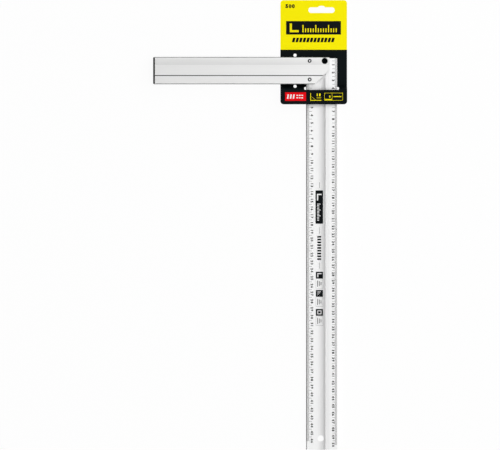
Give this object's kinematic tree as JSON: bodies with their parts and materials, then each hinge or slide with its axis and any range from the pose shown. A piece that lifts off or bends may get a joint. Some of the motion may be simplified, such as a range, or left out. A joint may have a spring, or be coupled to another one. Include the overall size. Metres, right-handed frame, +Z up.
{
  "type": "carpenter's square",
  "caption": "Riveted aluminium carpenter's square: hollow extruded stock and a printed metric blade at a right angle, threaded through a folded hang card.",
  "frame": {"origin": "middle of the footprint of square and card, on the ground that the card lies on", "axes": "+Z up out of the printed faces, blade along Y with its free end at -Y, stock along X with its capped end at -X"},
  "size_m": [0.25, 0.5802, 0.0169],
  "materials": {
    "stock": "satin anodised extrusion",
    "blade": "satin anodised, printed scales",
    "rivet": "bright pressed head",
    "spacer": "plain cut sleeve",
    "cap": "fine moulded grain",
    "card": "printed and varnished, yellow head over black"
  },
  "bodies": {
    "square": {"stock": "stock", "blade": "blade", "end_cap": "cap", "rivet_outer": "rivet", "rivet_inner": "rivet", "spacer_outer_front": "spacer", "spacer_outer_rear": "spacer", "spacer_inner_front": "spacer", "spacer_inner_rear": "spacer"},
    "hang_card": {"hang_card": "card"}
  },
  "joints": [
    {"name": "card_slide", "type": "slide", "parent": "square", "child": "hang_card", "axis": [0, -1, 0], "range_m": [0, 0.48]}
  ]
}
